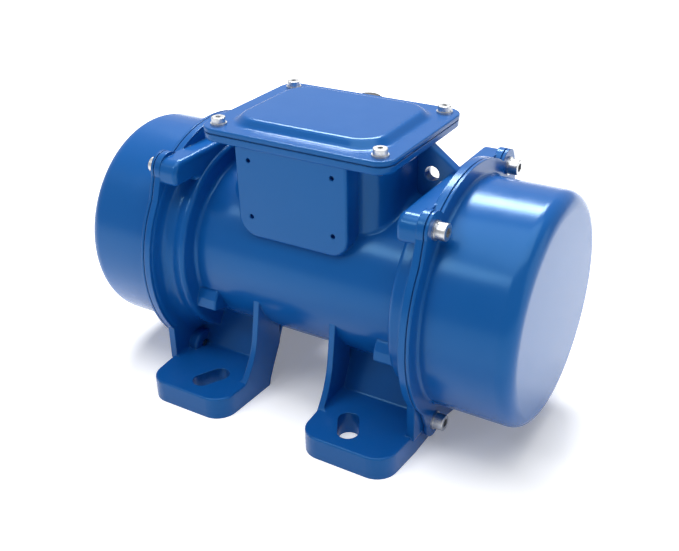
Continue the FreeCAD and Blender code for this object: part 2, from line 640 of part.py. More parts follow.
# ---------------------------------------------------------------- stator and rotor
def stator_core():
    """Laminated stator core with its slots."""
    body = ring(-CORE_HALF, CORE_HALF, STATOR_IR, BORE_R)
    slots = []
    for i in range(24):
        cut = Part.makeBox(2 * CORE_HALF + 2, 12.0, 3.4, V(-CORE_HALF - 1, 28.6, AXIS_H - 1.7))
        mouth = Part.makeBox(2 * CORE_HALF + 2, 4.0, 1.2, V(-CORE_HALF - 1, 25.5, AXIS_H - 0.6))
        cut = cut.fuse(mouth)
        cut.rotate(V(0, 0, AXIS_H), X_AXIS, i * 15)
        slots.append(cut)
    return body.cut(slots[0].multiFuse(slots[1:]))


def stator_windings():
    """Coil ends at both sides and the coil sides in the slots."""
    heads = revolved([(CORE_HALF, 31.0, 2), (CORE_HALF, 44.0, 3), (WINDING_END, 46.0, 6),
                      (WINDING_END, 30.5, 6)])
    solids = [heads, left(heads)]
    for i in range(24):
        side = Part.makeBox(2 * CORE_HALF + 1, 10.6, 3.0, V(-CORE_HALF - 0.5, 29.8, AXIS_H - 1.5))
        side.rotate(V(0, 0, AXIS_H), X_AXIS, i * 15)
        solids.append(side)
    return union(solids)


def shaft():
    """Stepped shaft with keyways and circlip grooves."""
    seat = BEARING_X - BEARING_W / 2
    half = revolved([(0, 0), (0, SHAFT_MID_R), (seat, SHAFT_MID_R), (seat, SHAFT_R),
                     (INNER_WEIGHT_X - 1, SHAFT_R), (INNER_WEIGHT_X - 1, SHAFT_WEIGHT_R),
                     (SHAFT_END, SHAFT_WEIGHT_R, 1.2), (SHAFT_END, 0)])
    keyway = Part.makeBox(WEIGHT_T + 0.4, 8.0, 4.5, V(INNER_WEIGHT_X - 0.2, -4.0, AXIS_H + SHAFT_WEIGHT_R - 4.0))
    groove = ring(133.5, 135.1, SHAFT_WEIGHT_R - 0.8, SHAFT_WEIGHT_R + 2)
    half = half.cut(keyway).cut(groove)
    return union([half, left(half)])


def weight_key():
    """Key of the right-hand inner weight."""
    return Part.makeBox(WEIGHT_T, 7.9, 7.0, V(INNER_WEIGHT_X, -3.95, AXIS_H + SHAFT_WEIGHT_R - 4.0))


def rotor_core():
    """Laminated rotor core."""
    return ring(-CORE_HALF, CORE_HALF, SHAFT_MID_R, ROTOR_R)


def rotor_rings():
    """Cast end rings with stirring blades."""
    band = revolved([(CORE_HALF, SHAFT_MID_R + 1.5), (CORE_HALF, ROTOR_R - 1, 1), (CORE_HALF + 7, ROTOR_R - 1.5, 1),
                     (CORE_HALF + 7, SHAFT_MID_R + 2.5, 1)])
    blades = []
    for i in range(8):
        blade = Part.makeBox(8, 4.0, 1.8, V(CORE_HALF + 6, 20.6, AXIS_H - 0.9))
        blade.rotate(V(0, 0, AXIS_H), X_AXIS, i * 45)
        blades.append(blade)
    right = union([band] + blades)
    return [right, left(right)]


def bearing_shield():
    """Right-hand bearing shield: spigot, plate, ribs and bearing hub."""
    hub = BEARING_OR + 7.0
    x0, x1 = BEARING_X - BEARING_W / 2, BEARING_X + BEARING_W / 2
    body = revolved([(SHIELD_SEAT_X - 4, 0), (SHIELD_SEAT_X - 4, BORE_R - 0.05), (SHIELD_SEAT_X, BORE_R - 0.05),
                     (SHIELD_SEAT_X, SHIELD_SEAT_R - 0.05), (SHIELD_SEAT_X + 6, SHIELD_SEAT_R - 0.05, 1),
                     (SHIELD_SEAT_X + 6, hub, 3), (x1 + 1, hub, 1.5), (x1 + 1, 0)])
    nose = ring(x0 - 4, SHIELD_SEAT_X, 0, hub)
    ribs = []
    for i in range(8):
        rib = Part.makeBox(4.0, 9.0, 4.0, V(SHIELD_SEAT_X + 5.5, hub - 1, AXIS_H - 2))
        rib.rotate(V(0, 0, AXIS_H), X_AXIS, 22.5 + i * 45)
        ribs.append(rib)
    body = union([body, nose] + ribs)
    body = body.cut(ring(x0, x1 + 2, 0, BEARING_OR)).cut(ring(x0 - 5, x0 + 1, 0, 31.0))
    for degrees in SHIELD_SCREWS:
        y, z = polar(SHIELD_SCREW_R, degrees)
        body = body.cut(rod(SHIELD_SEAT_X - 5, SHIELD_SEAT_X + 9, y, z, M4["d"] / 2 + 0.3))
        body = body.cut(rod(SHIELD_SEAT_X + 6, SHIELD_SEAT_X + 12, y, z, M4["dk"] / 2 + 0.6))
    return body.removeSplitter()


def shield_screws():
    """Screws of the right-hand bearing shield."""
    seats = [polar(SHIELD_SCREW_R, degrees) for degrees in SHIELD_SCREWS]
    return [cap_screw(M4, 11, V(SHIELD_SEAT_X + 6, y, z), X_AXIS) for y, z in seats]


def bearing_cap():
    """Plate that closes the right-hand bearing toward the weights."""
    x1 = BEARING_X + BEARING_W / 2 + 1
    return revolved([(x1, SHAFT_R + 0.6), (x1, BEARING_OR + 5), (x1 + 2.5, BEARING_OR + 5, 0.6),
                     (x1 + 2.5, SHAFT_R + 0.6)])


def bearing_outer():
    """Outer ring of the right-hand bearing."""
    x0, x1 = BEARING_X - BEARING_W / 2, BEARING_X + BEARING_W / 2
    body = ring(x0, x1, BALL_PITCH_R + 3.4, BEARING_OR)
    return body.cut(race())


def bearing_inner():
    """Inner ring of the right-hand bearing."""
    x0, x1 = BEARING_X - BEARING_W / 2, BEARING_X + BEARING_W / 2
    body = ring(x0, x1, SHAFT_R, BALL_PITCH_R - 3.4)
    return body.cut(race())


def race():
    """Ball track of the right-hand bearing."""
    return Part.makeTorus(BALL_PITCH_R, BALL_R + RUN, V(BEARING_X, 0, AXIS_H), X_AXIS)


def bearing_balls():
    """Balls of the right-hand bearing."""
    balls = []
    for i in range(BALL_COUNT):
        y, z = polar(BALL_PITCH_R, 360.0 * i / BALL_COUNT)
        balls.append(Part.makeSphere(BALL_R, V(BEARING_X, y, z)))
    return balls


def bearing_cage():
    """Ball cage of the right-hand bearing."""
    body = ring(BEARING_X - 7.2, BEARING_X + 7.2, BALL_PITCH_R - 1.6, BALL_PITCH_R + 1.6)
    balls = [Part.makeSphere(BALL_R + 0.02, b.CenterOfMass) for b in bearing_balls()]
    return body.cut(balls[0].multiFuse(balls[1:]))


def weight(x0, thickness, spread, radius):
    """Eccentric weight, heavy side down: fan with a round hub."""
    a = math.radians(90 - spread)
    y, z = radius * math.cos(a), -radius * math.sin(a)
    fan = Part.Wire([Part.LineSegment(V(x0, -HUB_R, AXIS_H), V(x0, -y, AXIS_H + z)).toShape(),
                     Part.Arc(V(x0, -y, AXIS_H + z), V(x0, 0, AXIS_H - radius), V(x0, y, AXIS_H + z)).toShape(),
                     Part.LineSegment(V(x0, y, AXIS_H + z), V(x0, HUB_R, AXIS_H)).toShape(),
                     Part.LineSegment(V(x0, HUB_R, AXIS_H), V(x0, -HUB_R, AXIS_H)).toShape()])
    body = Part.Face(fan).extrude(V(thickness, 0, 0)).fuse(rod(x0, x0 + thickness, 0, AXIS_H, HUB_R))
    return body.removeSplitter()


def inner_weight():
    """Right-hand fixed weight on its key."""
    body = weight(INNER_WEIGHT_X, WEIGHT_T, 75, WEIGHT_R)
    body = body.cut(rod(INNER_WEIGHT_X - 1, INNER_WEIGHT_X + WEIGHT_T + 1, 0, AXIS_H, SHAFT_WEIGHT_R))
    return body.cut(weight_key())


def outer_weight():
    """Right-hand adjustable weight with its clamping slit."""
    x0, x1 = OUTER_WEIGHT_X, OUTER_WEIGHT_X + WEIGHT_T
    body = weight(x0, WEIGHT_T, 75, WEIGHT_R)
    body = body.cut(rod(x0 - 1, x1 + 1, 0, AXIS_H, SHAFT_WEIGHT_R + RUN))
    slit = Part.makeBox(WEIGHT_T + 2, 2.0, 30, V(x0 - 1, -1.0, AXIS_H - 38))
    body = body.cut(slit)
    bolt = Part.makeCylinder(M8["d"] / 2, 60, V(x0 + WEIGHT_T / 2, -30, AXIS_H - 27), Y_AXIS)
    head = Part.makeCylinder(M8["dk"] / 2 + 0.5, 30, V(x0 + WEIGHT_T / 2, -20 - 30, AXIS_H - 27), Y_AXIS)
    return body.cut(bolt).cut(head)


def clamp_screw():
    """Clamping screw of the right-hand adjustable weight."""
    return cap_screw(M8, 32, V(OUTER_WEIGHT_X + WEIGHT_T / 2, -20, AXIS_H - 27), Y_AXIS * -1)


def circlip():
    """Circlip that keeps the right-hand outer weight."""
    body = ring(133.55, 135.05, SHAFT_WEIGHT_R - 0.8, SHAFT_WEIGHT_R + 3.2)
    return body.cut(Part.makeBox(4, 6, 8, V(132, -3, AXIS_H + SHAFT_WEIGHT_R - 3)))


# ---------------------------------------------------------------- write the nodes
def write(name, shape):
    """One STEP file per node; a list becomes a group of solids."""
    if isinstance(shape, list):
        shape = Part.makeCompound(shape)
    shape.exportStep("parts/" + name + ".step")
    print(name, len(shape.Solids), "solid(s)", shape.isValid())


def both(name, shape):
    """The same part at the right and at the left end."""
    group = shape if isinstance(shape, list) else [shape]
    write("right_" + name, shape)
    write("left_" + name, [left(s) for s in group] if isinstance(shape, list) else left(shape))


def main():
    os.makedirs("parts", exist_ok=True)
    write("housing", housing())
    both("cover", cover())
    both("cover_seal", cover_seal())
    both("cover_screws", cover_screws())
    both("cover_washers", cover_washers())
    write("lid", lid())
    write("lid_gasket", lid_gasket())
    write("lid_screws", lid_screws())
    write("lid_washers", lid_washers())
    write("terminal_board", terminal_board())
    write("terminal_studs", terminal_studs())
    write("terminal_links", terminal_links())
    write("terminal_nuts", terminal_nuts())
    write("board_screws", board_screws())
    write("earth_screw", earth_screw())
    write("gland_body", gland_body())
    write("gland_nut", gland_nut())
    write("gland_insert", gland_insert())
    write("gland_ring", gland_ring())
    write("stator_core", stator_core())
    write("stator_windings", stator_windings())
    write("shaft", shaft())
    write("rotor_core", rotor_core())
    write("rotor_rings", rotor_rings())
    both("bearing_shield", bearing_shield())
    both("shield_screws", shield_screws())
    both("bearing_cap", bearing_cap())
    both("bearing_outer_ring", bearing_outer())
    both("bearing_inner_ring", bearing_inner())
    both("bearing_balls", bearing_balls())
    both("bearing_cage", bearing_cage())
    both("inner_weight", inner_weight())
    both("outer_weight", outer_weight())
    both("weight_key", weight_key())
    both("clamp_screw", clamp_screw())
    both("circlip", circlip())


main()
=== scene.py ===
"""Foot mounted vibration motor: finishes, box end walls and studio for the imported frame."""

import json  # noqa: E402
import logging  # noqa: E402
import math  # noqa: E402
from dataclasses import dataclass, field  # noqa: E402
from enum import Enum  # noqa: E402
from typing import ClassVar, Sequence  # noqa: E402

import bmesh  # noqa: E402
import bpy  # noqa: E402
from mathutils import Matrix, Vector  # noqa: E402

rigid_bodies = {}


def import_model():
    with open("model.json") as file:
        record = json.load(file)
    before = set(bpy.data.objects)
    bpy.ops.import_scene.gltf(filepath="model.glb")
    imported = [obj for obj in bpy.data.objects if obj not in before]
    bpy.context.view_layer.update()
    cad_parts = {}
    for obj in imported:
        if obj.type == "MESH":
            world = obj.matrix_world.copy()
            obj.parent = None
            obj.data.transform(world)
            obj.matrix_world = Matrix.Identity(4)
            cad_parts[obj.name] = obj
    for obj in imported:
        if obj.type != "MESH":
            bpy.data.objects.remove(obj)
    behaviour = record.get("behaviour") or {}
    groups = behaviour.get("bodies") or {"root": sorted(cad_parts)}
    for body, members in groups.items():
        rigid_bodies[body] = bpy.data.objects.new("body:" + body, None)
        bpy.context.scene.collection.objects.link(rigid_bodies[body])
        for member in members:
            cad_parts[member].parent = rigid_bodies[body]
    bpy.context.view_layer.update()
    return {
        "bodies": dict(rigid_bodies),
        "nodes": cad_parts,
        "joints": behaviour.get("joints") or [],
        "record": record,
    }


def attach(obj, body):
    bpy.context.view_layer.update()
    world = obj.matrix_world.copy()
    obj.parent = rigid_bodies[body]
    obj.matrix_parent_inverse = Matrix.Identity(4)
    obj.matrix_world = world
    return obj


logging.basicConfig(level=logging.INFO, format="%(levelname)s %(message)s")
log = logging.getLogger("motor")

Color = tuple[float, float, float, float]
Point = tuple[float, float, float]

WHITE: Color = (1.0, 1.0, 1.0, 1.0)
NOISE_CORE = (0.3, 0.7)  # the range that holds most of a noise value


class Slot(Enum):
    """Materials: the slots of the record, and the painted edge of the seals."""

    PAINT = "blue_paint"
    RUBBER = "seal_rubber"
    SEAL = "painted_seal"
    ZINC = "zinc_steel"
    PLASTIC = "black_plastic"
    BOARD = "moulded_board"
    BRASS = "brass_parts"
    CORE = "core_steel"
    COPPER = "copper_coils"
    GROUND = "ground_steel"
    ALUMINIUM = "bare_aluminium"
    IRON = "weight_iron"


class Side(Enum):
    """Ends of the motor."""

    RIGHT = 1
    LEFT = -1

    @property
    def prefix(self) -> str:
        """Start of the node names at this end."""
        return "right_" if self is Side.RIGHT else "left_"


# ---------------------------------------------------------------- shader helpers
@dataclass
class Nodes:
    """Short way to add and join shader nodes in one tree.

    Args:
        tree: the tree that gets the nodes.
    """

    # A colour mix has several sockets of each name, so its factor, A, B and result go by index.
    MIX_INPUTS: ClassVar[tuple[int, int, int]] = (0, 6, 7)
    MIX_RESULT: ClassVar[int] = 2

    tree: bpy.types.NodeTree

    def add(self, kind: str, **values: object) -> bpy.types.Node:
        """Adds a node.

        Args:
            kind: node type, such as "ShaderNodeMix".
            **values: properties of the node; inputs are given by join or feed.

        Returns:
            The new node.
        """
        node = self.tree.nodes.new(kind)
        for name, value in values.items():
            setattr(node, name, value)
        return node

    def join(self, source: bpy.types.NodeSocket, target: bpy.types.NodeSocket) -> None:
        """Links one socket to another."""
        self.tree.links.new(source, target)

    def feed(self, value: object, target: bpy.types.NodeSocket) -> None:
        """Gives an input its value.

        Args:
            value: a number, a colour, or the socket to link.
            target: the input.
        """
        if isinstance(value, bpy.types.NodeSocket):
            self.join(value, target)
        else:
            target.default_value = value

    def math(self, operation: str, a: object, b: object = 0.0,
             clamp: bool = False) -> bpy.types.NodeSocket:
        """Adds a maths node.

        Args:
            operation: name of the operation.
            a: first value or socket.
            b: second value or socket.
            clamp: whether the result is kept within 0 and 1.

        Returns:
            The result socket.
        """
        node = self.add("ShaderNodeMath", operation=operation, use_clamp=clamp)
        for value, socket in zip((a, b), node.inputs):
            self.feed(value, socket)
        return node.outputs[0]

    def mix(self, factor: object, a: object, b: object) -> bpy.types.NodeSocket:
        """Mixes two colours.

        Args:
            factor: share of b, a value or a socket.
            a: colour or socket.
            b: colour or socket.

        Returns:
            The colour socket.
        """
        node = self.add("ShaderNodeMix", data_type="RGBA")
        for value, index in zip((factor, a, b), self.MIX_INPUTS):
            self.feed(value, node.inputs[index])
        return node.outputs[self.MIX_RESULT]

    def noise(self, vector: bpy.types.NodeSocket, scale: float, detail: float = 3.0,
              rough: float = 0.5) -> bpy.types.NodeSocket:
        """Adds a noise.

        Args:
            vector: the coordinates.
            scale: size of the noise, per metre.
            detail: number of finer layers.
            rough: strength of the finer layers.

        Returns:
            The value socket.
        """
        node = self.add("ShaderNodeTexNoise")
        given = {"Vector": vector, "Scale": scale, "Detail": detail, "Roughness": rough}
        for name, value in given.items():
            self.feed(value, node.inputs[name])
        return node.outputs["Fac"]

    def span(self, value: bpy.types.NodeSocket, low: float, high: float, to_low: float = 0.0,
             to_high: float = 1.0) -> bpy.types.NodeSocket:
        """Maps a value from one range to another, clamped.

        Args:
            value: the value socket.
            low: start of the range it comes from.
            high: end of the range it comes from.
            to_low: result at low.
            to_high: result at high.

        Returns:
            The result socket.
        """
        node = self.add("ShaderNodeMapRange")
        for given, socket in zip((value, low, high, to_low, to_high), node.inputs):
            self.feed(given, socket)
        return node.outputs[0]

    def bump(self, height: bpy.types.NodeSocket, strength: object, distance: float,
             normal: bpy.types.NodeSocket | None = None) -> bpy.types.NodeSocket:
        """Bends the normal by a height.

        Args:
            height: the height socket.
            strength: a value or a socket.
            distance: metres that a height of 1 stands for.
            normal: the normal to bend, or None for the surface's own.

        Returns:
            The normal socket.
        """
        node = self.add("ShaderNodeBump")
        for name, value in {"Height": height, "Strength": strength, "Distance": distance}.items():
            self.feed(value, node.inputs[name])
        if normal is not None:
            self.join(normal, node.inputs["Normal"])
        return node.outputs["Normal"]


def group_tree(name: str, inputs: Sequence[tuple[str, str, object]],
               outputs: Sequence[tuple[str, str]]) -> tuple[Nodes, bpy.types.Node, bpy.types.Node]:
    """Starts a shared node group.

    Args:
        name: name of the group.
        inputs: (name, socket type, default) of each input.
        outputs: (name, socket type) of each output.

    Returns:
        The node helper, the group's input node and its output node.
    """
    tree = bpy.data.node_groups.new(name, "ShaderNodeTree")
    for label, kind, default in inputs:
        socket = tree.interface.new_socket(name=label, in_out="INPUT", socket_type=kind)
        if default is not None:
            socket.default_value = default
    for label, kind in outputs:
        tree.interface.new_socket(name=label, in_out="OUTPUT", socket_type=kind)
    nodes = Nodes(tree)
    return nodes, nodes.add("NodeGroupInput"), nodes.add("NodeGroupOutput")


class Effects:
    """Shared effects, each one a node group made once."""

    EDGE_RADIUS = 0.0010  # how far the enamel film rounds an edge
    EDGE_SAMPLES = 6
    PEEL_DEPTH = 0.0003
    PEEL_FINE_SHARE = 0.3
    DUSTY_SLOPE = (0.1, 1.0)  # upward part of the normal, from no dust to all of it
    DUST_PATCHES = (0.35, 0.75)
    DUST_SPECKS = (0.62, 0.75)
    DUST_SPECK_SHARE = 0.6
    GRAIN_STRENGTH = 0.12
    GRAIN_DEPTH = 0.0002

    def __init__(self) -> None:
        """Makes the groups."""
        self.peel = self._peel()
        self.dust = self._dust()
        self.grain = self._grain()

    def _peel(self) -> bpy.types.NodeTree:
        """Orange peel of sprayed enamel, with every edge softened by the film.

        Returns:
            The group.
        """
        nodes, given, result = group_tree(
            "enamel_peel",
            [("Vector", "NodeSocketVector", None), ("Strength", "NodeSocketFloat", 0.1),
             ("Radius", "NodeSocketFloat", self.EDGE_RADIUS)],
            [("Normal", "NodeSocketVector")],
        )
        fine = nodes.noise(given.outputs["Vector"], scale=700.0, detail=2.0, rough=0.45)
        broad = nodes.noise(given.outputs["Vector"], scale=130.0, detail=2.0, rough=0.5)
        height = nodes.math("ADD", nodes.math("MULTIPLY", fine, self.PEEL_FINE_SHARE), broad)
        edge = nodes.add("ShaderNodeBevel", samples=self.EDGE_SAMPLES)
        nodes.join(given.outputs["Radius"], edge.inputs["Radius"])
        normal = nodes.bump(height, given.outputs["Strength"], self.PEEL_DEPTH,
                            edge.outputs["Normal"])
        nodes.join(normal, result.inputs["Normal"])
        return nodes.tree

    def _dust(self) -> bpy.types.NodeTree:
        """Thin dust on faces that look up.

        Returns:
            The group.
        """
        nodes, given, result = group_tree(
            "settled_dust",
            [("Vector", "NodeSocketVector", None), ("Amount", "NodeSocketFloat", 0.1)],
            [("Mask", "NodeSocketFloat")],
        )
        geometry = nodes.add("ShaderNodeNewGeometry")
        parts = nodes.add("ShaderNodeSeparateXYZ")
        nodes.join(geometry.outputs["Normal"], parts.inputs[0])
        upward = nodes.span(parts.outputs["Z"], *self.DUSTY_SLOPE)
        broad = nodes.noise(given.outputs["Vector"], scale=34.0, detail=6.0, rough=0.62)
        fine = nodes.noise(given.outputs["Vector"], scale=900.0, detail=2.0, rough=0.5)
        patches = nodes.span(broad, *self.DUST_PATCHES)
        specks = nodes.math("MULTIPLY", nodes.span(fine, *self.DUST_SPECKS), self.DUST_SPECK_SHARE)
        film = nodes.math("MULTIPLY", upward, nodes.math("ADD", patches, specks))
        mask = nodes.math("MULTIPLY", film, given.outputs["Amount"], clamp=True)
        nodes.join(mask, result.inputs["Mask"])
        return nodes.tree

    def _grain(self) -> bpy.types.NodeTree:
        """Fine grain and blotches of bare metal.

        Returns:
            The group.
        """
        nodes, given, result = group_tree(
            "metal_grain",
            [("Vector", "NodeSocketVector", None), ("Scale", "NodeSocketFloat", 1.0)],
            [("Value", "NodeSocketFloat"), ("Normal", "NodeSocketVector")],
        )
        scaled = nodes.add("ShaderNodeVectorMath", operation="SCALE")
        nodes.join(given.outputs["Vector"], scaled.inputs[0])
        nodes.join(given.outputs["Scale"], scaled.inputs["Scale"])
        value = nodes.noise(scaled.outputs[0], scale=500.0, detail=5.0, rough=0.6)
        nodes.join(value, result.inputs["Value"])
        normal = nodes.bump(value, self.GRAIN_STRENGTH, self.GRAIN_DEPTH)
        nodes.join(normal, result.inputs["Normal"])
        return nodes.tree

    @staticmethod
    def use(nodes: Nodes, tree: bpy.types.NodeTree, **values: object) -> bpy.types.Node:
        """Puts a shared group in a material.

        Args:
            nodes: node helper of the material.
            tree: the group.
            **values: numbers or sockets by input name.

        Returns:
            The group node.
        """
        node = nodes.add("ShaderNodeGroup", node_tree=tree)
        for name, value in values.items():
            nodes.feed(value, node.inputs[name])
        return node


# ---------------------------------------------------------------- finishes
def new_material(
        name: str) -> tuple[bpy.types.Material, Nodes, bpy.types.Node, bpy.types.NodeSocket]:
    """Starts a material with its Principled shader and object coordinates.

    Args:
        name: name of the material.

    Returns:
        The material, its node helper, its shader and the coordinates.
    """
    material = bpy.data.materials.new(name)
    material.use_nodes = True
    material.node_tree.nodes.clear()
    nodes = Nodes(material.node_tree)
    shader = nodes.add("ShaderNodeBsdfPrincipled")
    output = nodes.add("ShaderNodeOutputMaterial")
    nodes.join(shader.outputs[0], output.inputs[0])
    place = nodes.add("ShaderNodeTexCoord").outputs["Object"]
    return material, nodes, shader, place


@dataclass(frozen=True)
class Enamel:
    """Semi-gloss sprayed enamel.

    Args:
        name: name of the material.
        color: colour of the paint.
        deep: colour where the film is thick.
        roughness: gloss of the film.
        peel: strength of the orange peel.
        dust: amount of dust on faces that look up.
    """

    DUST_COLOR: ClassVar[Color] = (0.55, 0.56, 0.58, 1.0)
    DUST_ROUGHNESS: ClassVar[float] = 0.5
    REFLECTION: ClassVar[Color] = (0.32, 0.70, 1.0, 1.0)  # bluish, as the pigment tints it
    SWING: ClassVar[float] = 0.02  # how far the roughness strays from its mean
    IOR: ClassVar[float] = 1.5

    name: str
    color: Color
    deep: Color
    roughness: float = 0.21
    peel: float = 0.06
    dust: float = 0.012

    def build(self, effects: Effects) -> bpy.types.Material:
        """Makes the material.

        Args:
            effects: the shared effects.

        Returns:
            The material.
        """
        material, nodes, shader, place = new_material(self.name)
        cloud = nodes.span(nodes.noise(place, scale=14.0), *NOISE_CORE)
        dust = Effects.use(nodes, effects.dust, Vector=place, Amount=self.dust).outputs["Mask"]
        base = nodes.mix(dust, nodes.mix(cloud, self.color, self.deep), self.DUST_COLOR)
        nodes.join(base, shader.inputs["Base Color"])
        clean = nodes.span(nodes.noise(place, scale=90.0), *NOISE_CORE,
                           self.roughness - self.SWING, self.roughness + self.SWING)
        dusty = nodes.math("MULTIPLY", dust, self.DUST_ROUGHNESS)
        nodes.join(nodes.math("ADD", clean, dusty, clamp=True), shader.inputs["Roughness"])
        peel = Effects.use(nodes, effects.peel, Vector=place, Strength=self.peel)
        nodes.join(peel.outputs["Normal"], shader.inputs["Normal"])
        nodes.feed(self.IOR, shader.inputs["IOR"])
        nodes.feed(self.REFLECTION, shader.inputs["Specular Tint"])
        return material


@dataclass(frozen=True)
class BareMetal:
    """Bare or plated metal.

    Args:
        name: name of the material.
        color: bright colour.
        dull: colour of the blotches.
        roughness: roughness between the smooth and the dull places.
        scale: fineness of the grain, 1 is about 2 mm.
    """

    SMOOTHER: ClassVar[float] = 0.08
    ROUGHER: ClassVar[float] = 0.1

    name: str
    color: Color
    dull: Color
    roughness: float = 0.25
    scale: float = 1.0

    def build(self, effects: Effects) -> bpy.types.Material:
        """Makes the material.

        Args:
            effects: the shared effects.

        Returns:
            The material.
        """
        material, nodes, shader, place = new_material(self.name)
        grain = Effects.use(nodes, effects.grain, Vector=place, Scale=self.scale)
        value = nodes.span(grain.outputs["Value"], *NOISE_CORE)
        nodes.join(nodes.mix(value, self.color, self.dull), shader.inputs["Base Color"])
        rough = nodes.span(value, 0.0, 1.0, self.roughness - self.SMOOTHER,
                           self.roughness + self.ROUGHER)
        nodes.join(rough, shader.inputs["Roughness"])
        nodes.join(grain.outputs["Normal"], shader.inputs["Normal"])
        nodes.feed(1.0, shader.inputs["Metallic"])
        return material


@dataclass(frozen=True)
class Moulded:
    """Plastic or rubber.

    Args:
        name: name of the material.
        color: base colour.
        roughness: roughness between the smooth and the dull places.
        bump: strength of the moulded texture.
    """

    DUST: ClassVar[float] = 0.02
    DUST_COLOR: ClassVar[Color] = (0.4, 0.4, 0.4, 1.0)
    PALE_GAIN: ClassVar[float] = 1.6  # the paler spots are the colour times this,
    PALE_LIFT: ClassVar[float] = 0.01  # and this much lighter
    PALE_SHARE: ClassVar[float] = 0.3
    SMOOTHER: ClassVar[float] = 0.06
    ROUGHER: ClassVar[float] = 0.08
    TEXTURE_DEPTH: ClassVar[float] = 0.0002

    name: str
    color: Color
    roughness: float = 0.5
    bump: float = 0.2

    def build(self, effects: Effects) -> bpy.types.Material:
        """Makes the material.

        Args:
            effects: the shared effects.

        Returns:
            The material.
        """
        material, nodes, shader, place = new_material(self.name)
        pale = tuple(c * self.PALE_GAIN + self.PALE_LIFT for c in self.color[:3]) + (1.0,)
        value = nodes.span(nodes.noise(place, scale=700.0, detail=4.0, rough=0.6), *NOISE_CORE)
        dust = Effects.use(nodes, effects.dust, Vector=place, Amount=self.DUST).outputs["Mask"]
        base = nodes.mix(nodes.math("MULTIPLY", value, self.PALE_SHARE), self.color, pale)
        nodes.join(nodes.mix(dust, base, self.DUST_COLOR), shader.inputs["Base Color"])
        rough = nodes.span(value, 0.0, 1.0, self.roughness - self.SMOOTHER,
                           self.roughness + self.ROUGHER)
        nodes.join(rough, shader.inputs["Roughness"])
        nodes.join(nodes.bump(value, self.bump, self.TEXTURE_DEPTH), shader.inputs["Normal"])
        return material


def palette(effects: Effects) -> dict[Slot, bpy.types.Material]:
    """Builds one material per slot.

    Args:
        effects: the shared effects.

    Returns:
        The material of each slot.
    """
    finishes = {
        Slot.PAINT: Enamel("royal_blue_enamel", (0.005, 0.110, 0.405, 1), (0.004, 0.103, 0.385, 1)),
        Slot.SEAL: Enamel("painted_seal_edge", (0.004, 0.075, 0.28, 1), (0.003, 0.065, 0.25, 1),
                          roughness=0.4),
        Slot.RUBBER: Moulded("black_seal", (0.008, 0.008, 0.01, 1), roughness=0.6),
        Slot.ZINC: BareMetal("bright_zinc", (0.62, 0.63, 0.64, 1), (0.50, 0.51, 0.52, 1),
                             roughness=0.32, scale=1.6),
        Slot.PLASTIC: Moulded("black_nylon", (0.007, 0.007, 0.008, 1), roughness=0.42, bump=0.3),
        Slot.BOARD: Moulded("brown_moulding", (0.11, 0.05, 0.022, 1), roughness=0.45),
        Slot.BRASS: BareMetal("bright_brass", (0.80, 0.58, 0.25, 1), (0.66, 0.45, 0.18, 1),
                              roughness=0.25),
        Slot.CORE: BareMetal("laminated_steel", (0.30, 0.31, 0.33, 1), (0.20, 0.20, 0.22, 1),
                             roughness=0.4, scale=0.6),
        Slot.COPPER: BareMetal("varnished_copper", (0.55, 0.20, 0.08, 1), (0.38, 0.13, 0.05, 1),
                               roughness=0.35, scale=0.8),
        Slot.GROUND: BareMetal("ground_steel", (0.60, 0.61, 0.63, 1), (0.48, 0.49, 0.51, 1),
                               roughness=0.22, scale=1.3),
        Slot.ALUMINIUM: BareMetal("cast_aluminium", (0.72, 0.73, 0.74, 1), (0.58, 0.59, 0.61, 1),
                                  roughness=0.38, scale=0.5),
        Slot.IRON: BareMetal("phosphated_iron", (0.16, 0.165, 0.175, 1), (0.10, 0.10, 0.11, 1),
                             roughness=0.5, scale=0.5),
    }
    made = {slot: finish.build(effects) for slot, finish in finishes.items()}
    log.info("materials: %d", len(made))
    return made


# ---------------------------------------------------------------- dressing the frame
@dataclass
class FrameDresser:
    """Gives every CAD node the material of its slot.

    Args:
        materials: material of each slot.
    """

    # These were in place when the motor was sprayed, so their edges are blue.
    PAINTED_OVER: ClassVar[tuple[str, ...]] = ("lid_gasket", "right_cover_seal", "left_cover_seal")

    frame: dict
    materials: dict[Slot, bpy.types.Material]

    def dress(self) -> None:
        """Assigns the materials."""
        subparts = self.frame["record"]["subparts"]
        slots = {part["node"]: Slot(part["material_slot"]) for part in subparts}
        slots.update({name: Slot.SEAL for name in self.PAINTED_OVER})
        for name, obj in self.frame["nodes"].items():
            for entry in obj.material_slots:
                entry.material = self.materials[slots[name]]
            log.info("node %s: %s", name, slots[name].value)


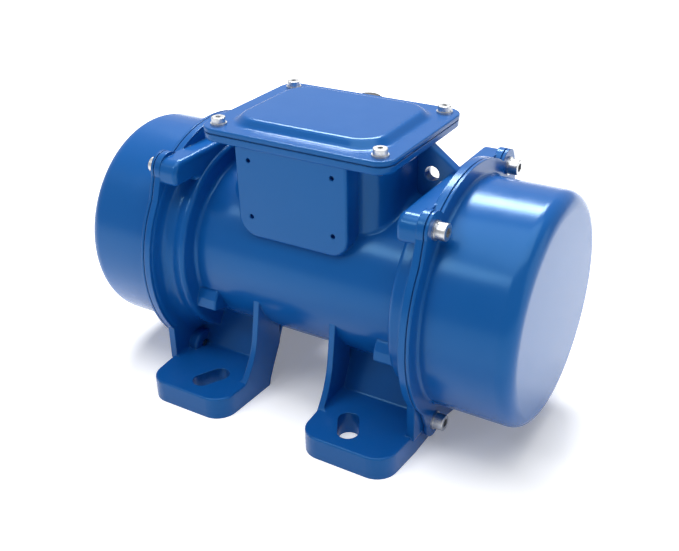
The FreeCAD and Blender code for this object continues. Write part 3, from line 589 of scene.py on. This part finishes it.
# ---------------------------------------------------------------- end walls of the terminal box
@dataclass(frozen=True)
class BoxFlank:
    """End wall of the terminal box, rounded in plan and running out onto the barrel.

    Args:
        side: end of the motor.
        reach: outer face of the wall, from the middle.
        width: half width of the box.
        corner: radius of its upright corners.
        foot: radius at the barrel.
        top: height of the underside of the rim.
        axis: height of the motor axis.
        barrel: radius of the barrel.
    """

    LAP: ClassVar[float] = 0.001  # length of the wall's sides, behind its corners
    DROP: ClassVar[float] = 0.02  # depth of the wall before its lower edge is laid on the barrel
    CORNER_SEGMENTS: ClassVar[int] = 14
    FACE_CUTS: ClassVar[int] = 19  # across the flat face, so that its foot follows the barrel
    FOOT_ROWS: ClassVar[int] = 6
    SIDE_FOOT: ClassVar[float] = 0.2  # share of the foot radius that is left at the sides
    NEAR: ClassVar[float] = 1e-6

    side: Side
    reach: float = 0.0558
    width: float = 0.03602
    corner: float = 0.0180
    foot: float = 0.0035
    top: float = 0.1684
    axis: float = 0.083
    barrel: float = 0.0540

    def _on_barrel(self, y: float) -> float:
        """Height of the barrel's top side at y."""
        return self.axis + math.sqrt(max(0.0, self.barrel ** 2 - y ** 2))

    def _is_corner(self, edge: bmesh.types.BMEdge) -> bool:
        """Whether an edge is an upright one at the outer face."""
        upright = abs(edge.verts[0].co.z - edge.verts[1].co.z) > self.DROP / 2
        return upright and all(abs(abs(v.co.x) - self.reach) < self.NEAR for v in edge.verts)

    def _wall(self) -> tuple[bmesh.types.BMesh, list[bmesh.types.BMEdge]]:
        """Upright wall with rounded corners.

        Returns:
            The mesh and the edges along its lower side.
        """
        mesh = bmesh.new()
        back = self.reach - self.corner - self.LAP
        turns = ((back, -self.width), (self.reach, -self.width),
                 (self.reach, self.width), (back, self.width))
        upper = [mesh.verts.new((x * self.side.value, y, self.top)) for x, y in turns]
        edges = [mesh.edges.new(pair) for pair in zip(upper, upper[1:])]
        made = bmesh.ops.extrude_edge_only(mesh, edges=edges)["geom"]
        lower = [item for item in made if isinstance(item, bmesh.types.BMVert)]
        bmesh.ops.translate(mesh, verts=lower, vec=(0.0, 0.0, -self.DROP))
        corners = [e for e in mesh.edges if self._is_corner(e)]
        bmesh.ops.bevel(mesh, geom=corners, offset=self.corner, offset_type="OFFSET",
                        affect="EDGES", segments=self.CORNER_SEGMENTS, profile=0.5, material=-1)
        across = [e for e in mesh.edges
                  if abs(e.verts[0].co.y - e.verts[1].co.y) > self.width / 2]
        bmesh.ops.subdivide_edges(mesh, edges=across, cuts=self.FACE_CUTS, use_grid_fill=True)
        lowest = min(v.co.z for v in mesh.verts)
        rim = [e for e in mesh.edges if all(v.co.z < lowest + self.NEAR for v in e.verts)]
        return mesh, rim

    def _outward(self, place: Vector) -> Vector:
        """Direction in plan, away from the box.

        Args:
            place: a place on the wall, in plan.

        Returns:
            The direction, of length 1.
        """
        side = self.side.value
        past_end = max(0.0, place.x * side - (self.reach - self.corner))
        past_side = max(0.0, abs(place.y) - (self.width - self.corner))
        beyond = Vector((past_end * side, math.copysign(past_side, place.y)))
        return beyond.normalized() if beyond.length > self.NEAR else Vector((side, 0.0))

    def _run_out(self, mesh: bmesh.types.BMesh, rim: list[bmesh.types.BMEdge]) -> None:
        """Carries the lower edge down and out onto the barrel in a concave curve.

        Args:
            mesh: mesh of the wall.
            rim: its lower edges.
        """
        before = 0.0
        for step in range(self.FOOT_ROWS + 1):
            if step:
                made = bmesh.ops.extrude_edge_only(mesh, edges=rim)["geom"]
                rim = [item for item in made if isinstance(item, bmesh.types.BMEdge)]
            angle = math.radians(90.0 * (1 - step / self.FOOT_ROWS))
            out, rise = 1 - math.sin(angle), 1 - math.cos(angle)
            for vert in {v for e in rim for v in e.verts}:
                way = self._outward(vert.co.xy)
                size = self.foot * (self.SIDE_FOOT + (1 - self.SIDE_FOOT) * way.x ** 2)
                place = vert.co.xy + way * size * (out - before)
                vert.co = (place.x, place.y, self._on_barrel(place.y) + size * rise)
            before = out

    def build(self, material: bpy.types.Material, body: str) -> bpy.types.Object:
        """Makes the wall as a piece of the casting.

        Args:
            material: paint of the casting.
            body: body that the casting belongs to.

        Returns:
            The wall object.
        """
        mesh, rim = self._wall()
        self._run_out(mesh, rim)
        bmesh.ops.recalc_face_normals(mesh, faces=mesh.faces)
        for face in mesh.faces:
            face.smooth = True
        data = bpy.data.meshes.new(self.side.prefix + "box_end_wall")
        mesh.to_mesh(data)
        mesh.free()
        obj = bpy.data.objects.new(data.name, data)
        bpy.context.scene.collection.objects.link(obj)
        data.materials.append(material)
        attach(obj, body)
        log.info("piece %s: %d faces", obj.name, len(data.polygons))
        return obj


# ---------------------------------------------------------------- studio
@dataclass(frozen=True)
class Softbox:
    """A rectangular lamp.

    Args:
        name: name of the light.
        size: width and height in metres.
        place: where it stands.
        aim: point it faces.
        power: watts.
    """

    name: str
    size: tuple[float, float]
    place: Point
    aim: Point
    power: float

    def build(self) -> bpy.types.Object:
        """Adds the lamp.

        Returns:
            The light object.
        """
        data = bpy.data.lights.new(self.name, "AREA")
        data.shape = "RECTANGLE"
        data.size, data.size_y = self.size
        data.energy = self.power
        obj = bpy.data.objects.new(self.name, data)
        bpy.context.scene.collection.objects.link(obj)
        obj.location = self.place
        facing = Vector(self.aim) - Vector(self.place)
        obj.rotation_euler = facing.to_track_quat("-Z", "Y").to_euler()
        return obj


@dataclass
class Studio:
    """Pale floor, soft lights, white world and the camera.

    Args:
        azimuth: degrees the camera stands towards +X from -Y.
        elevation: degrees above the horizon.
        roll: degrees the camera is turned about its view.
        distance: metres to the target.
        target: point the camera looks at.
        lens: focal length on the sensor.
        glow: painted light of the floor itself, under the motor and away from it; the lower value
            under the motor paints a shadow.
        shade: half length and half width of the patch under the motor that glows least, a painted
            shadow which also leaves the lamps' shadow there unwashed.
        fade: width of the band in which the glow rises from the first value to the second.
        horizon: distances between which the far floor glows brighter, painted light.
        far_glow: what that adds to the glow.
        bounce: share of the glow that lights other surfaces.
        mirrored: share of the glow that reflections show.
        shine: brightness of the world in reflections.
        fill: brightness of the world as a light.
    """

    SENSOR: ClassVar[float] = 36.0
    NEAREST: ClassVar[float] = 0.01
    FLOOR_SIZE: ClassVar[float] = 6.0
    FLOOR_COLORS: ClassVar[tuple[Color, Color]] = ((0.90, 0.90, 0.905, 1), (0.93, 0.93, 0.93, 1))
    FLOOR_ROUGHNESS: ClassVar[float] = 0.6
    FLOOR_SPECULAR: ClassVar[float] = 0.2
    FILL_COLOR: ClassVar[Color] = (0.95, 0.97, 1.0, 1)
    SOFTBOXES: ClassVar[tuple[Softbox, ...]] = (
        Softbox("key_softbox", (1.15, 0.38), (-0.6, 1.05, 1.6), (0, 0, 0.1), 38.0),
        Softbox("top_softbox", (2.0, 1.6), (0.1, -0.2, 2.0), (0, 0, 0.1), 26.0),
        Softbox("front_softbox", (0.8, 0.3), (-0.7, -1.0, 1.35), (0, 0, 0.08), 5.0),
        Softbox("right_softbox", (1.0, 0.8), (1.3, 0.25, 0.45), (0.1, 0, 0.08), 3.0),
    )

    azimuth: float = 31.33
    elevation: float = 28.73
    roll: float = -1.16
    distance: float = 0.6084
    target: Vector = field(default_factory=lambda: Vector((0.00247, 0.0, 0.069)))
    lens: float = 49.18
    glow: tuple[float, float] = (0.22, 0.64)
    shade: tuple[float, float] = (0.145, 0.045)
    fade: float = 0.045
    horizon: tuple[float, float] = (0.5, 3.0)
    far_glow: float = 0.6
    bounce: float = 0.25
    mirrored: float = 0.8
    shine: float = 0.6
    fill: float = 0.06

    def camera(self) -> bpy.types.Object:
        """Adds the camera.

        Returns:
            The camera object.
        """
        az, el, ro = (math.radians(v) for v in (self.azimuth, self.elevation, self.roll))
        back = Vector((math.cos(el) * math.sin(az), -math.cos(el) * math.cos(az), math.sin(el)))
        right = (-back).cross(Vector((0, 0, 1))).normalized()
        up = right.cross(-back)
        x_axis = right * math.cos(ro) + up * math.sin(ro)
        y_axis = up * math.cos(ro) - right * math.sin(ro)
        data = bpy.data.cameras.new("camera")
        data.lens = self.lens
        data.sensor_width = self.SENSOR
        data.clip_start = self.NEAREST
        data.dof.use_dof = False
        obj = bpy.data.objects.new("camera", data)
        bpy.context.scene.collection.objects.link(obj)
        turn = Matrix((x_axis, y_axis, back)).transposed().to_4x4()
        obj.matrix_world = Matrix.Translation(self.target + back * self.distance) @ turn
        bpy.context.scene.camera = obj
        return obj

    def _floor_glow(self, nodes: Nodes, place: bpy.types.NodeSocket) -> bpy.types.NodeSocket:
        """Painted light of the floor itself: it glows less under the motor, a painted shadow, and
        more far away.

        Args:
            nodes: node helper of the floor's material.
            place: its coordinates.

        Returns:
            The strength socket.
        """
        parts = nodes.add("ShaderNodeSeparateXYZ")
        nodes.join(place, parts.inputs[0])
        squares = []
        for axis, half in zip("XY", self.shade):
            past = nodes.math("SUBTRACT", nodes.math("ABSOLUTE", parts.outputs[axis]), half)
            squares.append(nodes.math("POWER", nodes.math("MAXIMUM", past, 0.0), 2.0))
        away = nodes.math("SQRT", nodes.math("ADD", *squares))
        # Painted shadow: the glow stays low over the patch under the motor and rises outside it;
        # far away it grows again, painted light.
        near = nodes.span(away, 0.0, self.fade, *self.glow)
        far = nodes.span(away, *self.horizon, 0.0, self.far_glow)
        path = nodes.add("ShaderNodeLightPath")
        reflected = nodes.span(path.outputs["Is Glossy Ray"], 0.0, 1.0, self.bounce, self.mirrored)
        seen = nodes.math("MAXIMUM", path.outputs["Is Camera Ray"], reflected)
        return nodes.math("MULTIPLY", nodes.math("ADD", near, far), seen)

    def floor(self) -> bpy.types.Object:
        """Adds the pale floor, which glows with painted light and has a painted shadow under the
        motor.

        Returns:
            The floor object.
        """
        mesh = bmesh.new()
        bmesh.ops.create_grid(mesh, x_segments=1, y_segments=1, size=self.FLOOR_SIZE)
        data = bpy.data.meshes.new("floor")
        mesh.to_mesh(data)
        mesh.free()
        obj = bpy.data.objects.new("floor", data)
        bpy.context.scene.collection.objects.link(obj)
        material, nodes, shader, place = new_material("pale_floor")
        value = nodes.noise(place, scale=30.0, detail=4.0)
        nodes.join(nodes.mix(value, *self.FLOOR_COLORS), shader.inputs["Base Color"])
        nodes.feed(self.FLOOR_ROUGHNESS, shader.inputs["Roughness"])
        nodes.feed(self.FLOOR_SPECULAR, shader.inputs["Specular IOR Level"])
        # The emission is painted light: the floor glows, less in a painted shadow patch under the
        # motor, and also lights the motor a little.
        nodes.join(self._floor_glow(nodes, place), shader.inputs["Emission Strength"])
        nodes.feed(WHITE, shader.inputs["Emission Color"])
        data.materials.append(material)
        return obj

    def world(self) -> None:
        """Makes the world white to the camera and softer as a light."""
        world = bpy.data.worlds.new("studio_world")
        world.use_nodes = True
        world.node_tree.nodes.clear()
        nodes = Nodes(world.node_tree)
        path = nodes.add("ShaderNodeLightPath")
        camera = path.outputs["Is Camera Ray"]
        reflected = nodes.math("MAXIMUM", path.outputs["Is Glossy Ray"],
                               path.outputs["Is Transmission Ray"])
        bright = nodes.math("MAXIMUM", camera, nodes.math("MULTIPLY", reflected, self.shine))
        seen = nodes.add("ShaderNodeBackground")
        nodes.feed(WHITE, seen.inputs["Color"])
        nodes.join(bright, seen.inputs["Strength"])
        fill = nodes.add("ShaderNodeBackground")
        nodes.feed(self.FILL_COLOR, fill.inputs["Color"])
        nodes.feed(self.fill, fill.inputs["Strength"])
        mix = nodes.add("ShaderNodeMixShader")
        output = nodes.add("ShaderNodeOutputWorld")
        nodes.join(nodes.math("MAXIMUM", camera, reflected), mix.inputs[0])
        nodes.join(fill.outputs[0], mix.inputs[1])
        nodes.join(seen.outputs[0], mix.inputs[2])
        nodes.join(mix.outputs[0], output.inputs[0])
        bpy.context.scene.world = world

    def build(self) -> None:
        """Sets up the whole studio."""
        self.camera()
        self.floor()
        for softbox in self.SOFTBOXES:
            softbox.build()
        self.world()
        bpy.context.scene.view_settings.view_transform = "Standard"
        log.info("studio ready")


def main() -> None:
    """Builds the dressed motor and its studio."""
    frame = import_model()
    materials = palette(Effects())
    FrameDresser(frame, materials).dress()
    for side in Side:
        BoxFlank(side).build(materials[Slot.PAINT], "housing")
    Studio().build()


if __name__ == "__main__":
    main()
